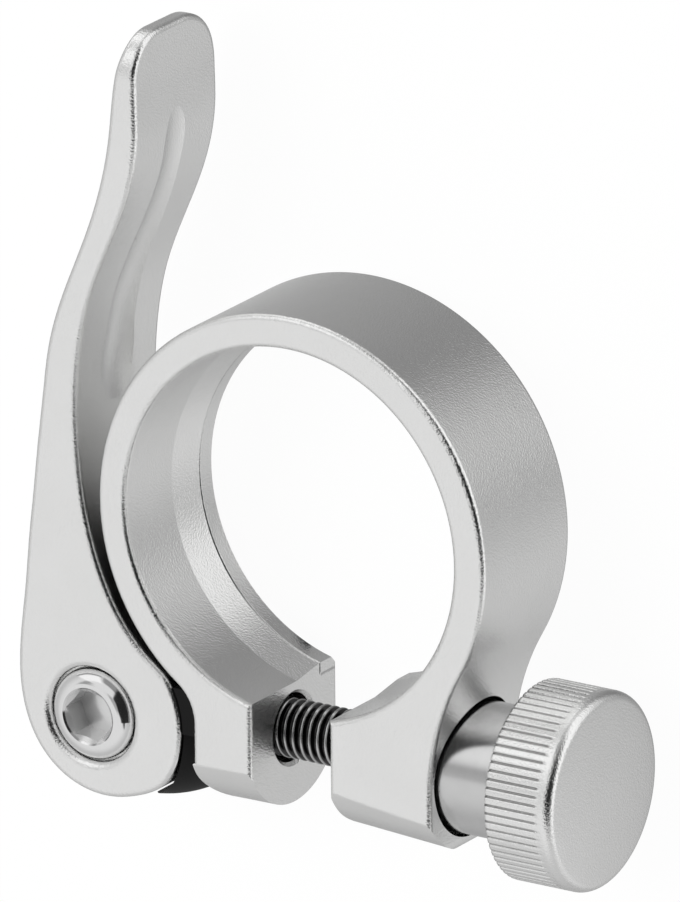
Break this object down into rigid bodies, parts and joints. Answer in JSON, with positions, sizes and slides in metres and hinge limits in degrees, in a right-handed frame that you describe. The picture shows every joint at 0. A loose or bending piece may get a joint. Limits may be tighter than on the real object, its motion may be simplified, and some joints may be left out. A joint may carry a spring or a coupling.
{
  "type": "seatpost clamp",
  "caption": "Quick-release seatpost clamp: split collar with ears, closed by a threaded skewer with a cam lever and a knurled thumb nut.",
  "frame": {"origin": "centre of the collar's bore at half the collar's height", "axes": "+Z along the bore's axis, away from the lip; +X along the skewer from the lever to the nut; +Y from the ears across the ring, the way the closed lever's handle points"},
  "size_m": [0.0536, 0.0677, 0.0168],
  "materials": {
    "satin_aluminium": "satin silver",
    "polished_steel": "polished",
    "dark_steel": "rolled thread, oiled",
    "black_plastic": "matte black"
  },
  "bodies": {
    "clamp": {"collar": "satin_aluminium", "skewer_rod": "dark_steel", "pivot_pin": "polished_steel", "cam_saddle": "black_plastic"},
    "lever": {"cam_lever": "satin_aluminium"},
    "sleeve": {"thrust_sleeve": "polished_steel"},
    "nut": {"thumb_nut": "satin_aluminium"}
  },
  "joints": [
    {"name": "lever_pivot", "type": "hinge", "parent": "clamp", "child": "lever", "pos_m": [-0.01978, -0.0194, 0], "axis": [0, 0, 1], "range_deg": [0, 140]},
    {"name": "nut_travel", "type": "slide", "parent": "clamp", "child": "sleeve", "axis": [1, 0, 0], "range_m": [0, 0.004]},
    {"name": "nut_turn", "type": "hinge", "parent": "sleeve", "child": "nut", "pos_m": [0, -0.0194, 0], "axis": [1, 0, 0], "range_deg": [0, 1800]}
  ],
  "couplings": [
    {"joint": "nut_travel", "follows": "nut_turn", "m_per_rad": 0.00012732}
  ]
}
